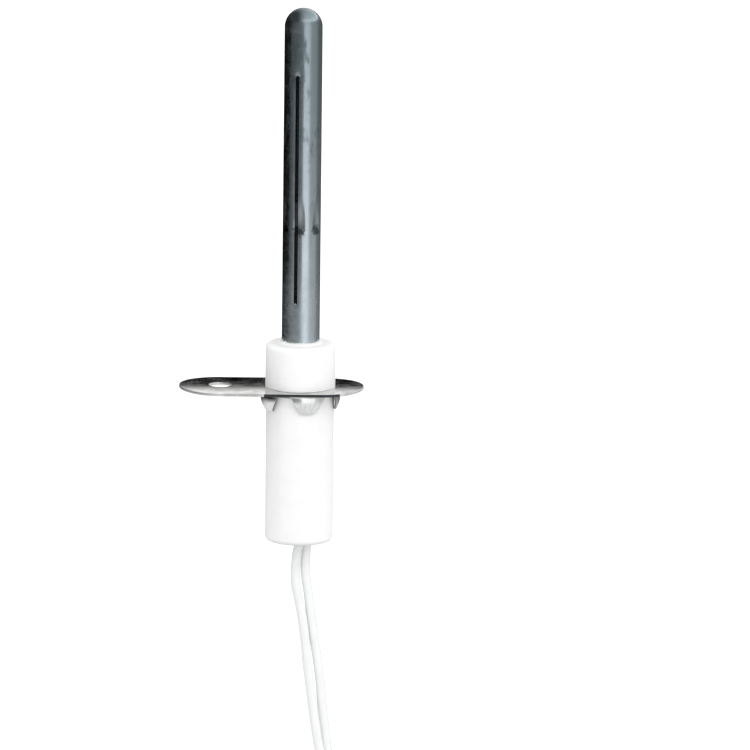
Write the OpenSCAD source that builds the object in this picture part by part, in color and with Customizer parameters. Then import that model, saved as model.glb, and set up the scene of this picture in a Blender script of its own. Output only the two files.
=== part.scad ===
// Ignition electrode for a gas burner: a hot surface element inside a slotted metal shield, held in a
// ceramic body with a clip-on mounting flange and two insulated leads.
// Millimetres. The origin is on the axis, level with the flange's upper face. +Z runs to the tip of the
// shield, and -X to the flange's screw hole. Left is -X and right is +X.

/* [Ceramic body] */
// Diameter of the collar above the flange, which goes into the burner bracket's hole
collar_d = 14.6; // [13:0.1:18]
// Height of the collar above the flange
collar_h = 9.2; // [7:0.1:16]
// Step from the collar in to the body below it, a cone that the flange bears against
shoulder = 0.2; // [0.15:0.05:0.4]
// Length of the body below the flange's upper face
base_h = 33; // [29:1:50]
// Radius of the rounded outer edges at both ends
edge_r = 1.1; // [0.4:0.1:1.4]
// Depth of the socket that the shield stands in
socket_depth = 8.5; // [5:0.5:11]
// Diameter of the cavity that holds the joints
cavity_d = 6.4; // [6.2:0.1:7]
// Diameter of the wider mouth at the bottom, where the leads come out
mouth_d = 7.4; // [7.1:0.1:9]

/* [Shield] */
// Outer diameter of the shield tube
shield_d = 7.94; // [7.5:0.02:9.5]
// Wall of the shield tube
shield_wall = 0.6; // [0.45:0.05:0.8]
// Height of the shield's tip above the collar
shield_h = 71.1; // [70:0.1:90]
// Width of each slot
slot_w = 0.8; // [0.5:0.1:1.6]
// Length of each slot
slot_l = 48.6; // [30:0.1:50]
// Height of the slots' lower ends above the collar
slot_up = 8.8; // [5:0.1:11]
// Turn of the slots about the axis, from the front towards -X
slot_turn = 17; // [0:1:60]
// Number of crimp dimples round the tube
dimples = 6; // [3:1:8]
// Depth of each dimple
dimple_depth = 0.25; // [0.1:0.05:0.3]
// Height of the dimples' middle above the collar
dimple_up = 27.8; // [25:0.1:30]

/* [Heating element] */
// Width and thickness of each leg's cold end
leg_w = 1.6; // [1.2:0.1:1.7]
// Distance from the axis to the middle of each leg
leg_x = 1.5; // [1.4:0.05:1.55]
// Thickness of the hot zone
hot_t = 1.1; // [0.8:0.1:1.2]
// Length of the hot zone, at the top
hot_l = 25; // [15:1:28]
// Clearance between the shield's inside and the tip of the element
tip_gap = 8; // [5:0.5:12]
// Length of the element below the shield's foot
leg_below = 8; // [6:0.5:9]
// Height of the spacer that centres the legs
spacer_h = 5; // [3:0.5:6]
// Radial clearance between the spacer and the shield, less the dimples
spacer_gap = 0.05; // [0.03:0.01:0.1]

/* [Flange and retainer] */
// Thickness of the flange plate
plate_t = 0.6; // [0.5:0.1:1.5]
// Width of the plate beside the body
plate_web = 1.4; // [1.2:0.1:3]
// Distance from the axis to the screw hole
screw_x = 16.7; // [15.5:0.1:22]
// Diameter of the screw hole
screw_d = 4.6; // [3.2:0.1:5.5]
// Distance from the axis to the middle of the plate's short end
short_x = 4.7; // [0:0.1:12]
// Radial clearance of the plate and the retainer round the body
plate_gap = 0.1; // [0.06:0.01:0.14]
// Clearance between the plate's countersink and the body's shoulder
seat_gap = 0.05; // [0.03:0.01:0.05]
// Thickness of the retainer's sheet
retainer_t = 0.5; // [0.3:0.05:0.6]
// Outer radius of the retainer beyond the body's radius
retainer_out = 1.35; // [1:0.05:1.5]
// Length of the retainer's fingers below its flat ring
finger_l = 3.6; // [2:0.1:5]
// Width of each finger at its root
finger_root_w = 8; // [5:0.1:8.6]
// Width of each finger at its tip
finger_tip_w = 3.7; // [2:0.1:4.5]
// Number of fingers
fingers = 5; // [3:1:5]
// Turn of the first finger about the axis, from the front towards +X
finger_turn = 13; // [0:1:36]

/* [Joints and leads] */
// Outer diameter of a lead's insulation
lead_d = 2; // [1.6:0.1:2.1]
// Diameter of a lead's bare strands
strand_d = 1.2; // [0.8:0.1:1.3]
// Outer diameter of a crimp sleeve
crimp_d = 2.2; // [2:0.1:2.4]
// Length of a crimp sleeve
crimp_l = 6; // [4:0.5:6]
// Distance from the crimps down to the insulation of the leads
strand_show = 5.7; // [4:0.1:7]
// Wall of the terminal clips
clip_wall = 0.3; // [0.2:0.05:0.3]
// Length of the terminal clips
clip_l = 5; // [3:0.5:5.5]
// Bare length at the far end of each lead
strip_l = 9; // [6:0.5:12]
// Straight length of the hank's runs
hank_run = 38; // [30:1:40]
// Radius of the hank's end loops, at the middle of the lead
hank_loop_r = 6; // [6:0.5:7]
// How far the tie pulls each run in
hank_waist = 1.6; // [0.4:0.1:2]
// Height of the tie
tie_h = 3.5; // [2:0.5:8]
// Thickness of the tie
tie_t = 0.7; // [0.4:0.1:1.5]
// Size of the tie's locking head along X
tie_head_w = 4.4; // [3:0.1:6]
// How far the head stands out from the band
tie_head_out = 2.2; // [1.5:0.1:3]

/* [Hidden] */
$fn = 96;
cut = 0.01;  // how far a cutting shape runs past what it cuts
LEFT = -1;
RIGHT = 1;

// Ceramic
collar_r = collar_d / 2;
base_r = collar_r - shoulder;
socket_floor = collar_h - socket_depth;
cement_film = 0.15;  // cement between the shield and its socket
bead = 0.45;         // size of the cement bead round the shield's foot
potting_recess = 0.4;

// Shield
shield_r = shield_d / 2;
shield_in_r = shield_r - shield_wall;
shield_top = collar_h + shield_h;
slot_low = collar_h + slot_up;
dimple_mid = collar_h + dimple_up;
dimple_run = 5.5;    // straight length of a dimple
dimple_r = 7;        // radius of the punch that makes it
dimple_first = 52;   // turn of the first dimple, from the front towards +X

// Element
element_top = shield_top - shield_wall - tip_gap;
element_low = socket_floor - leg_below;
hot_low = element_top - hot_l;
bend_out_r = leg_x + leg_w / 2;
bend_in_r = leg_x - leg_w / 2;
spacer_r = shield_in_r - dimple_depth - spacer_gap;

// Joints, from the top down
clip_top = element_low + clip_l;
clip_out = leg_w + 2 * clip_wall;
clip_floor = element_low - clip_wall;
clip_tail = 4;       // length of the round tail under a clip
crimp_top = clip_floor - 1;
crimp_low = crimp_top - crimp_l;
tail_low = clip_floor - clip_tail;
strand_top = tail_low - 0.3;
lead_r = lead_d / 2;
strand_r = strand_d / 2;
mouth_top = crimp_low - strand_show;
mouth_depth = mouth_top + base_h;
lead_top = mouth_top;
lead_gap = 0.05;     // radial clearance of a lead in the potting

// Flange and retainer
plate_hole_r = base_r + plate_gap;
plate_end_r = plate_hole_r + plate_web;
seat_r = collar_r + seat_gap;  // mouth of the plate's countersink
seat_depth = seat_r - plate_hole_r;
ring_r = base_r + retainer_out;
ring_low = -plate_t - retainer_t;
finger_low = ring_low - finger_l;
finger_grip = 0.02;  // radial gap between a fingertip and the body
finger_round = 0.7;

// Hank
hank_x = 1;
hank_down = 56.5;                        // from the body's foot to the middle of the top loops
neck_l = 5.5;                            // straight length above the run
tail_l = 11.5;                           // straight length below it, to the end of the insulation
turn_pitch = lead_d + 0.1;               // spacing of the turns, along Y
hank_top = -base_h - hank_down;
hank_low = hank_top - hank_run;
hank_mid = (hank_top + hank_low) / 2;
hank_out_r = hank_loop_r + lead_r;
hank_depth = 2 * turn_pitch;             // each lead's two turns, side by side
waist_half = hank_run / 2;
waist_r = (waist_half * waist_half + hank_waist * hank_waist) / (2 * hank_waist);
run_x = hank_x + hank_loop_r;            // the runs that the leads come down into
tail_end = hank_low - tail_l;
tie_gap = 0.1;
tie_in_x = hank_out_r - hank_waist + tie_gap;
tie_in_y = hank_depth + tie_gap;

// Routes of the leads' middles below the body, as X, Y and the depth below its foot
ROUTE_LEFT = [[-0.1, -0.5, 0], [-0.2, -0.5, 2], [-0.5, -0.5, 4.5], [-0.6, -0.5, 7], [-0.5, -0.5, 9.5],
    [0, -0.5, 12], [0.6, -0.5, 15], [1.1, -0.5, 18], [1.6, -0.5, 22], [2, -0.5, 26], [2.6, -0.5, 30.5],
    [3.2, -0.6, 35], [3.9, -0.7, 40], [4.8, -0.8, 45], [6.2, -1, 49]];
ROUTE_RIGHT = [[1.7, 0.5, 0], [1.6, 0.5, 2], [1.5, 0.5, 4.5], [1.5, 0.5, 7], [1.8, 0.5, 9.5],
    [2.2, 0.5, 12], [2.6, 0.5, 15], [3, 0.5, 18], [3.6, 0.5, 22], [4.2, 0.5, 26], [4.8, 0.6, 30.5],
    [5.2, 0.7, 35], [5.8, 0.8, 40], [6.4, 0.9, 45], [6.9, 1, 49]];
LEAD_LEFT = whole_route(LEFT, ROUTE_LEFT);
LEAD_RIGHT = whole_route(RIGHT, ROUTE_RIGHT);
TUBE_SIDES = 8;

function turned(angle) = angle - 90;  // an angle from the front, as one from +X
function unit(v) = v / norm(v);
// From the end of the insulation at the crimp, down the route, to the top of the hank
function whole_route(side, route) = concat([[side * leg_x, 0, lead_top]],
    [for (p = route) [p[0], p[1], -base_h - p[2]]],
    [[run_x, side * turn_pitch / 2, hank_top + neck_l]]);
function clamped(i, n) = min(max(i, 0), n - 1);
function direction(route, i) =
    unit(route[clamped(i + 1, len(route))] - route[clamped(i - 1, len(route))]);
// One ring of a tube round a route point. No route runs along Y, and both ends are cut level.
function ring(route, i, radius, sides) =
    let (t = i == 0 || i == len(route) - 1 ? [0, 0, -1] : direction(route, i),
         v = unit([0, 1, 0] - t[1] * t),
         u = cross(v, t))
    [for (k = [0 : sides - 1]) route[i] + radius * (cos(360 * k / sides) * u + sin(360 * k / sides) * v)];

module tube_along(route, radius, sides) {
    last = len(route) - 1;
    points = [for (i = [0 : last]) each ring(route, i, radius, sides)];
    near_end = [[for (k = [0 : sides - 1]) k]];
    far_end = [[for (k = [0 : sides - 1]) last * sides + sides - 1 - k]];
    walls = [for (i = [0 : last - 1], k = [0 : sides - 1])
        [i * sides + k, (i + 1) * sides + k, (i + 1) * sides + (k + 1) % sides, i * sides + (k + 1) % sides]];
    polyhedron(points, concat(near_end, far_end, walls), convexity = 4);
}

// A disc of radius r and height h, with its top edge rounded
module rounded_disc(r, h, e) {
    rotate_extrude() {
        square([r, h - e]);
        square([r - e, h]);
        translate([r - e, h - e]) circle(e);
    }
}

module ceramic_body() {
    color("white")
    difference() {
        union() {
            rounded_disc(collar_r, collar_h, edge_r);
            translate([0, 0, -shoulder]) cylinder(r1 = base_r, r2 = collar_r, h = shoulder);
            mirror([0, 0, 1]) rounded_disc(base_r, base_h, edge_r);
        }
        translate([0, 0, socket_floor]) cylinder(r = shield_r + cement_film, h = socket_depth + cut);
        translate([0, 0, -base_h]) cylinder(d = cavity_d, h = base_h + collar_h);
        translate([0, 0, -base_h - cut]) cylinder(d = mouth_d, h = mouth_depth + cut);
    }
}

// A solid rod from the shield's foot to a round tip
module bullet(r, top) {
    translate([0, 0, socket_floor]) cylinder(r = r, h = top - r - socket_floor);
    translate([0, 0, top - r]) sphere(r);
}

module slot() {
    rotate([0, 0, turned(-slot_turn)])
    translate([0, 0, slot_low]) {
        translate([0, -slot_w / 2, slot_w / 2]) cube([shield_r + 1, slot_w, slot_l - slot_w]);
        for (z = [slot_w / 2, slot_l - slot_w / 2])
            translate([0, 0, z]) rotate([0, 90, 0]) cylinder(d = slot_w, h = shield_r + 1);
    }
}

// The punch that presses a dimple in, grown by the given amount
module punch(angle, grow) {
    rotate([0, 0, turned(angle)])
    translate([shield_r + dimple_r - dimple_depth, 0, dimple_mid]) {
        cylinder(r = dimple_r + grow, h = dimple_run, center = true);
        for (z = [-dimple_run / 2, dimple_run / 2]) translate([0, 0, z]) sphere(dimple_r + grow);
    }
}

module punches(grow) {
    for (k = [0 : dimples - 1]) punch(dimple_first + 360 * k / dimples, grow);
}

module shield_tube() {
    color("slategray")
    difference() {
        bullet(shield_r, shield_top);
        difference() {
            bullet(shield_in_r, shield_top - shield_wall);
            punches(shield_wall);
        }
        for (side = [0, 180]) rotate([0, 0, side]) slot();
        punches(0);
    }
}

// The hairpin's outline in the XZ plane
module hairpin(low, top) {
    difference() {
        union() {
            translate([-bend_out_r, low]) square([2 * bend_out_r, top - bend_out_r - low]);
            translate([0, top - bend_out_r]) circle(bend_out_r);
        }
        translate([-bend_in_r, low - 1]) square([2 * bend_in_r, top - bend_out_r - low + 1]);
        translate([0, top - bend_out_r]) circle(bend_in_r);
    }
}

module heating_element() {
    color("dimgray") {
        for (side = [LEFT, RIGHT])
            translate([side * leg_x - leg_w / 2, -leg_w / 2, element_low])
                cube([leg_w, leg_w, hot_low - element_low]);
        rotate([90, 0, 0]) translate([0, 0, -hot_t / 2]) linear_extrude(hot_t) hairpin(hot_low - 0.5, element_top);
    }
}

module element_spacer() {
    color("gray")
    difference() {
        translate([0, 0, dimple_mid - spacer_h / 2]) cylinder(r = spacer_r, h = spacer_h);
        for (side = [LEFT, RIGHT])
            translate([side * leg_x - leg_w / 2, -leg_w / 2, dimple_mid - spacer_h])
                cube([leg_w, leg_w, 2 * spacer_h]);
    }
}

module clip_block() {
    translate([-clip_out / 2, -clip_out / 2, clip_floor]) cube([clip_out, clip_out, clip_top - clip_floor]);
}

module tail() {
    translate([0, 0, tail_low]) cylinder(r = strand_r, h = clip_floor - tail_low);
}

module terminal(side) {
    color("silver")
    translate([side * leg_x, 0, 0]) {
        difference() {
            clip_block();
            translate([-leg_w / 2, -leg_w / 2, element_low]) cube([leg_w, leg_w, clip_l + cut]);
        }
        tail();
    }
}

module crimp(side) {
    color("silver")
    translate([side * leg_x, 0, crimp_low])
    difference() {
        cylinder(d = crimp_d, h = crimp_l);
        translate([0, 0, -cut]) cylinder(r = strand_r, h = crimp_l + 2 * cut);
    }
}

module conductor(side) {
    color("tan") translate([side * leg_x, 0, lead_top]) cylinder(r = strand_r, h = strand_top - lead_top);
}

module shield_cement() {
    color("whitesmoke")
    rotate_extrude() {
        translate([shield_r, socket_floor]) square([cement_film, socket_depth]);
        polygon([[shield_r, collar_h - cut], [shield_r + cement_film, collar_h - cut],
            [shield_r + cement_film, collar_h], [shield_r + bead, collar_h], [shield_r, collar_h + bead]]);
    }
}

// Fills the cavity round the terminals and crimps, from the shield's foot to the mouth
module core_cement() {
    color("whitesmoke")
    difference() {
        translate([0, 0, mouth_top]) cylinder(d = cavity_d, h = socket_floor - mouth_top);
        for (side = [LEFT, RIGHT]) translate([side * leg_x, 0, 0]) {
            translate([-leg_w / 2, -leg_w / 2, element_low]) cube([leg_w, leg_w, leg_below + cut]);
            clip_block();
            tail();
            translate([0, 0, crimp_low]) cylinder(d = crimp_d, h = crimp_l);
            translate([0, 0, mouth_top - cut]) cylinder(r = strand_r, h = tail_low - mouth_top + 2 * cut);
        }
    }
}

// A straight cylinder from one point to another and a little past both
module rod_between(from, to, r) {
    along = to - from;
    reach = norm(along);
    translate(from)
    rotate([0, acos(along[2] / reach), atan2(along[1], along[0])])
    translate([0, 0, -1]) cylinder(r = r, h = reach + 2);
}

module lead_potting() {
    color("whitesmoke")
    difference() {
        translate([0, 0, potting_recess - base_h]) cylinder(d = mouth_d, h = mouth_depth - potting_recess);
        rod_between(LEAD_LEFT[0], LEAD_LEFT[1], lead_r + lead_gap);
        rod_between(LEAD_RIGHT[0], LEAD_RIGHT[1], lead_r + lead_gap);
    }
}

module mounting_flange() {
    color("lightgray")
    difference() {
        translate([0, 0, -plate_t])
        linear_extrude(plate_t)
        difference() {
            union() {
                translate([-screw_x, 0]) circle(plate_end_r);
                translate([short_x, 0]) circle(plate_end_r);
                translate([-screw_x, -plate_end_r]) square([screw_x + short_x, 2 * plate_end_r]);
            }
            circle(plate_hole_r);
            translate([-screw_x, 0]) circle(d = screw_d);
        }
        translate([0, 0, -seat_depth]) cylinder(r1 = plate_hole_r, r2 = seat_r, h = seat_depth);
    }
}

// One finger's outline, seen from outside: wide at the ring, and rounded at the tip
module finger_outline() {
    root = finger_root_w / 2;
    tip = finger_tip_w / 2;
    polygon([[-root, ring_low + retainer_t / 2], [-root, ring_low], [-tip, finger_low + finger_round],
        [-tip + finger_round, finger_low - cut], [tip - finger_round, finger_low - cut],
        [tip, finger_low + finger_round], [root, ring_low], [root, ring_low + retainer_t / 2]]);
}

module finger_cutter(angle) {
    rotate([0, 0, angle]) translate([0, -ring_r / 2, 0])
        rotate([90, 0, 0]) linear_extrude(ring_r) finger_outline();
}

// A crown: a flat ring under the plate, and fingers that lean in from its edge to grip the body
module retainer_ring() {
    color("gainsboro")
    intersection() {
        rotate_extrude()
        polygon([[plate_hole_r, -plate_t], [ring_r, -plate_t], [ring_r, ring_low],
            [base_r + finger_grip + retainer_t, finger_low], [base_r + finger_grip, finger_low],
            [ring_r - retainer_t, ring_low], [plate_hole_r, ring_low]]);
        union() {
            translate([0, 0, ring_low]) cylinder(r = ring_r + 1, h = retainer_t + 1);
            for (k = [0 : fingers - 1]) finger_cutter(finger_turn + 360 * k / fingers);
        }
    }
}

// The hank's outline seen from the front: two runs with round ends, drawn in at the tie
module hank_outline() {
    difference() {
        union() {
            translate([0, hank_top]) circle(hank_out_r);
            translate([0, hank_low]) circle(hank_out_r);
            translate([-hank_out_r, hank_low]) square([2 * hank_out_r, hank_run]);
        }
        for (side = [LEFT, RIGHT])
            translate([side * (hank_out_r - hank_waist + waist_r), hank_mid]) circle(waist_r);
    }
}

// Both turns of one lead, with the straight lengths that run in at the top and out at the bottom
module lead_hank(side) {
    color("white") {
        translate([hank_x, side < 0 ? 0 : hank_depth, 0])
            rotate([90, 0, 0]) linear_extrude(hank_depth) hank_outline();
        translate([run_x, side * turn_pitch / 2, hank_top])
            cylinder(r = lead_r, h = neck_l);
        translate([run_x, side * turn_pitch * 1.5, tail_end])
            cylinder(r = lead_r, h = hank_low - tail_end);
    }
}

module stripped_end(side) {
    color("tan")
    translate([run_x, side * turn_pitch * 1.5, tail_end - strip_l])
        cylinder(r = strand_r, h = strip_l);
}

module lead_tie() {
    color("white")
    translate([hank_x, 0, hank_mid - tie_h / 2])
    linear_extrude(tie_h)
    difference() {
        union() {
            square([2 * (tie_in_x + tie_t), 2 * (tie_in_y + tie_t)], center = true);
            translate([-tie_head_w / 2, -tie_in_y - tie_t - tie_head_out])
                square([tie_head_w, tie_head_out + tie_t]);
        }
        square([2 * tie_in_x, 2 * tie_in_y], center = true);
    }
}

module lead(route) {
    color("white") tube_along(route, lead_r, TUBE_SIDES);
}

shield_tube();
heating_element();
element_spacer();
terminal(LEFT);  // terminal_left
terminal(RIGHT);  // terminal_right
ceramic_body();
shield_cement();
core_cement();
lead_potting();
mounting_flange();
retainer_ring();
crimp(LEFT);  // crimp_left
crimp(RIGHT);  // crimp_right
conductor(LEFT);  // conductor_left
conductor(RIGHT);  // conductor_right
lead(LEAD_LEFT);  // lead_left
lead(LEAD_RIGHT);  // lead_right
lead_hank(LEFT);  // lead_left_hank
lead_hank(RIGHT);  // lead_right_hank
stripped_end(LEFT);  // stripped_end_left
stripped_end(RIGHT);  // stripped_end_right
lead_tie();
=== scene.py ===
"""Looks for the ignition electrode, built around its CAD frame. Metres, +Z towards the shield's tip."""

import math

import bmesh
import bpy
from mathutils import Matrix, Vector, noise


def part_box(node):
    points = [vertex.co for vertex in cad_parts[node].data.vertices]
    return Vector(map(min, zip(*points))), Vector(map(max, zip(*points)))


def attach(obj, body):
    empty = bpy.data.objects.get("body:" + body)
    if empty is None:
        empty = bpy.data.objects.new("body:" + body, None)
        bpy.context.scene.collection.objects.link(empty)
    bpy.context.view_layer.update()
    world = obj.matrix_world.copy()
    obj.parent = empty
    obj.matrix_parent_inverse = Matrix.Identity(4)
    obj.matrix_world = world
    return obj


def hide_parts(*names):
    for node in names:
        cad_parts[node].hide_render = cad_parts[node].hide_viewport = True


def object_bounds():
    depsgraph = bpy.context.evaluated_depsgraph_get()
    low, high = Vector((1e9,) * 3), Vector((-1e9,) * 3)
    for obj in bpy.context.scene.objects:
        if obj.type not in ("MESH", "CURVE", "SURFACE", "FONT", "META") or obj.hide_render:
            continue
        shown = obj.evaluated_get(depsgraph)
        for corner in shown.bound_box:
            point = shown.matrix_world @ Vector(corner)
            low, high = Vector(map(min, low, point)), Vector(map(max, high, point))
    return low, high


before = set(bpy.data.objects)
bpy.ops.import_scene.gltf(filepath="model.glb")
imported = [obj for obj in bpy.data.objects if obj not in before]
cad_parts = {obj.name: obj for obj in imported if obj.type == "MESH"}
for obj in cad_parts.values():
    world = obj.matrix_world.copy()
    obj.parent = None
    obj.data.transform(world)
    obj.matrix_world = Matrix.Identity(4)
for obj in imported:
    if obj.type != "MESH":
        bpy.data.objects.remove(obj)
CAD_LOW, CAD_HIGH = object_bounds()
MM = 0.001
TURN = 2 * math.pi
DOUBLED = 0.2e-6  # points closer than this are one point


# ---------------------------------------------------------------- sizes, from the frame and in metres

SHIELD_LOW, SHIELD_TOP = (corner.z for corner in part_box("shield_tube"))
SHIELD_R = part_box("shield_tube")[1].x
SHIELD_WALL = 0.6 * MM
SLOT_W = 0.8 * MM
SLOT_TURN = math.radians(-17)
COLLAR_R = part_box("ceramic_body")[1].x
FOOT, COLLAR_TOP = (corner.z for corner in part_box("ceramic_body"))
SLOT_LOW = COLLAR_TOP + 8.8 * MM
SLOT_HIGH = SLOT_LOW + 48.6 * MM
SHOULDER = 0.2 * MM
BODY_R = COLLAR_R - SHOULDER
BODY_LIP = 0.3 * MM
DIMPLES = 6
DIMPLE_FIRST = math.radians(52)
DIMPLE_LOW = COLLAR_TOP + 23.6 * MM
DIMPLE_LENGTH = 8.4 * MM
DIMPLE_HALF_W = 1.35 * MM
DIMPLE_DEPTH = 0.3 * MM
DIMPLE_RISE = 0.14  # share of the length in which a dimple reaches its full depth
ROLL_DEPTH = 0.09 * MM  # how far the slots' edges are rolled in
ROLL_REACH = 0.3 * MM
SOCKET_R = SHIELD_R + 0.15 * MM
MOUTH_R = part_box("lead_potting")[1].x
MOUTH_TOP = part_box("lead_potting")[1].z
CAVITY_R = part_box("core_cement")[1].x
PLATE_LOW, PLATE_TOP = (corner.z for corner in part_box("mounting_flange"))
PLATE_END_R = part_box("mounting_flange")[1].y
SCREW_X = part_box("mounting_flange")[0].x + PLATE_END_R
SHORT_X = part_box("mounting_flange")[1].x - PLATE_END_R
SCREW_HOLE_R = 2.3 * MM
PLATE_HOLE_R = BODY_R + 0.1 * MM
RING_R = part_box("retainer_ring")[1].y
FINGER_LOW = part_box("retainer_ring")[0].z

# The leads: the same route points as the CAD tubes, as X, Y and the depth below the body's foot, in metres
LEAD_R = 1.0 * MM
LEG_X = 1.5 * MM  # how far from the axis each lead starts, inside the body
ROUTE_LEFT = [
    (-0.0001, -0.0005, 0), (-0.0002, -0.0005, 0.002), (-0.0005, -0.0005, 0.0045), (-0.0006, -0.0005, 0.007),
    (-0.0005, -0.0005, 0.0095), (0, -0.0005, 0.012), (0.0006, -0.0005, 0.015), (0.0011, -0.0005, 0.018),
    (0.0016, -0.0005, 0.022), (0.002, -0.0005, 0.026), (0.0026, -0.0005, 0.0305), (0.0032, -0.0006, 0.035),
    (0.0039, -0.0007, 0.04), (0.0048, -0.0008, 0.045), (0.0062, -0.001, 0.049),
]
ROUTE_RIGHT = [
    (0.0017, 0.0005, 0), (0.0016, 0.0005, 0.002), (0.0015, 0.0005, 0.0045), (0.0015, 0.0005, 0.007),
    (0.0018, 0.0005, 0.0095), (0.0022, 0.0005, 0.012), (0.0026, 0.0005, 0.015), (0.003, 0.0005, 0.018),
    (0.0036, 0.0005, 0.022), (0.0042, 0.0005, 0.026), (0.0048, 0.0006, 0.0305), (0.0052, 0.0007, 0.035),
    (0.0058, 0.0008, 0.04), (0.0064, 0.0009, 0.045), (0.0069, 0.001, 0.049),
]
HANK_X = 1 * MM
HANK_LOOP_R = 6 * MM
HANK_TOP = FOOT - 56.5 * MM
HANK_LOW = HANK_TOP - 38 * MM
HANK_MID = (HANK_TOP + HANK_LOW) / 2
HANK_WAIST = 1.6 * MM
TURN_PITCH = 2.1 * MM
INSULATION_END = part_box("stripped_end_left")[1].z
STRAND_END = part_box("stripped_end_left")[0].z

# ---------------------------------------------------------------- camera

VIEW_ELEVATION = math.radians(12)
VIEW_LEAN = math.radians(0.6)
VIEW_CENTRE = Vector((15.6, 0, 2.35)) * MM
VIEW_WIDTH = 156.6 * MM
LENS = 1200
SENSOR = 36


def make_camera():
    """A long lens in front of the object and a little above it, leaning slightly."""
    data = bpy.data.cameras.new("camera")
    data.lens = LENS
    data.sensor_width = SENSOR
    camera = bpy.data.objects.new("camera", data)
    bpy.context.collection.objects.link(camera)
    back = Vector((0, -math.cos(VIEW_ELEVATION), math.sin(VIEW_ELEVATION)))
    aim = (-back).to_track_quat("-Z", "Y").to_matrix() @ Matrix.Rotation(VIEW_LEAN, 3, "Z")
    place = VIEW_CENTRE + back * VIEW_WIDTH * LENS / SENSOR
    camera.matrix_world = Matrix.Translation(place) @ aim.to_4x4()
    bpy.context.scene.camera = camera


# ---------------------------------------------------------------- small helpers


def smooth(x):
    x = min(max(x, 0), 1)
    return x * x * (3 - 2 * x)


def wrapped(angle):
    return (angle + math.pi) % TURN - math.pi


def at(angle, r, z):
    """A point at an angle from the front towards +X, as seen from above."""
    return Vector((r * math.sin(angle), -r * math.cos(angle), z))


def spaced(start, end, step):
    """Even steps from start up to end, without end itself."""
    count = max(1, round(abs(end - start) / step))
    return [start + (end - start) * k / count for k in range(count)]


def link_piece(name, data, material, nodes):
    """Adds a piece, attaches it to the root body and hides the CAD nodes that it replaces."""
    piece = bpy.data.objects.new(name, data)
    bpy.context.collection.objects.link(piece)
    data.materials.append(material)
    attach(piece, "root")
    if nodes:
        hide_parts(*nodes)
    return piece


def mesh_piece(name, points, faces, material, nodes=(), sharp=35):
    """A mesh made of points and faces, cleaned, with smooth shading up to an angle of sharp degrees."""
    mesh = bpy.data.meshes.new(name)
    mesh.from_pydata(points, [], faces)
    clean(mesh)
    piece = link_piece(name, mesh, material, nodes)
    mesh.set_sharp_from_angle(angle=math.radians(sharp))
    return piece


def write_back(work, mesh):
    """Turns the faces outwards, smooths them and puts them in the mesh."""
    bmesh.ops.recalc_face_normals(work, faces=work.faces)
    for face in work.faces:
        face.smooth = True
    work.to_mesh(mesh)
    work.free()


def clean(mesh):
    """Joins doubled points and drops faces without area."""
    work = bmesh.new()
    work.from_mesh(mesh)
    bmesh.ops.remove_doubles(work, verts=work.verts, dist=DOUBLED)
    bmesh.ops.dissolve_degenerate(work, edges=work.edges, dist=DOUBLED)
    write_back(work, mesh)


def settle(piece, sharp=35):
    """Applies a piece's modifiers, then marks its sharp edges again."""
    shown = piece.evaluated_get(bpy.context.evaluated_depsgraph_get())
    mesh = bpy.data.meshes.new_from_object(shown)
    piece.modifiers.clear()
    piece.data = mesh
    mesh.set_sharp_from_angle(angle=math.radians(sharp))


def weigh_normals(piece):
    piece.modifiers.new("normals", "WEIGHTED_NORMAL").keep_sharp = True


def fillet(corners, steps=6):
    """The closed outline through corners (x, y, radius), with each corner rounded to its radius."""
    outline = []
    for i, (x, y, radius) in enumerate(corners):
        corner = Vector((x, y))
        if radius == 0:
            outline.append(corner)
            continue
        before = (Vector(corners[i - 1][:2]) - corner).normalized()
        after = (Vector(corners[(i + 1) % len(corners)][:2]) - corner).normalized()
        half = before.angle(after) / 2
        centre = corner + (before + after).normalized() * radius / math.sin(half)
        start = corner + before * radius / math.tan(half) - centre
        sweep = start.angle_signed(corner + after * radius / math.tan(half) - centre)
        for k in range(steps + 1):
            outline.append(centre + Matrix.Rotation(-sweep * k / steps, 2) @ start)
    return outline


def fine(outline, step):
    """The same closed outline, with points added so that no edge is longer than step."""
    points = []
    for i, start in enumerate(outline):
        end = outline[(i + 1) % len(outline)]
        count = max(1, math.ceil((end - start).length / step))
        points += [start.lerp(end, k / count) for k in range(count)]
    return points


def rounded_box(xs, ys, radius, steps):
    """The outline of a rectangle with rounded corners."""
    corners = [(xs[0], ys[0]), (xs[1], ys[0]), (xs[1], ys[1]), (xs[0], ys[1])]
    return fillet([(x, y, radius) for x, y in corners], steps)


def circle(centre_x, radius, count=96):
    angles = [TURN * k / count for k in range(count)]
    return [Vector((centre_x + radius * math.cos(a), radius * math.sin(a))) for a in angles]


def soft_levels(start, end, edge, steps=4):
    """Heights from start to end, and how far the outline is drawn in at each to round both edges."""
    way = math.copysign(edge, end - start)
    quarter = [math.pi / 2 * (1 - k / steps) for k in range(steps + 1)]
    levels = [(start + way * (1 - math.sin(a)), edge * (1 - math.cos(a))) for a in quarter]
    return levels + [(start + end - z, inset) for z, inset in reversed(levels)]


def waviness(angle, z, height, around, length):
    """Slow bumps round a cylinder: more of them for a larger around or a shorter length."""
    return height * noise.noise(Vector((around * math.cos(angle), around * math.sin(angle), z / length)))


def hoop_faces(hoops, count, closed=True):
    """Quads between hoops of count points each, the last hoop joined to the first."""
    steps = count if closed else count - 1
    return [
        (k * count + i, k * count + (i + 1) % count, after * count + (i + 1) % count, after * count + i)
        for k, after in ((k, (k + 1) % hoops) for k in range(hoops))
        for i in range(steps)
    ]


def lathe(outline, segments, wobble):
    """Points and faces of a closed outline (radius, height) turned about the axis."""
    angles = [TURN * k / segments for k in range(segments)]
    points = [at(angle, r + wobble(angle, z), z) for angle in angles for r, z in outline]
    return points, hoop_faces(segments, len(outline))


# ---------------------------------------------------------------- material nodes


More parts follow.
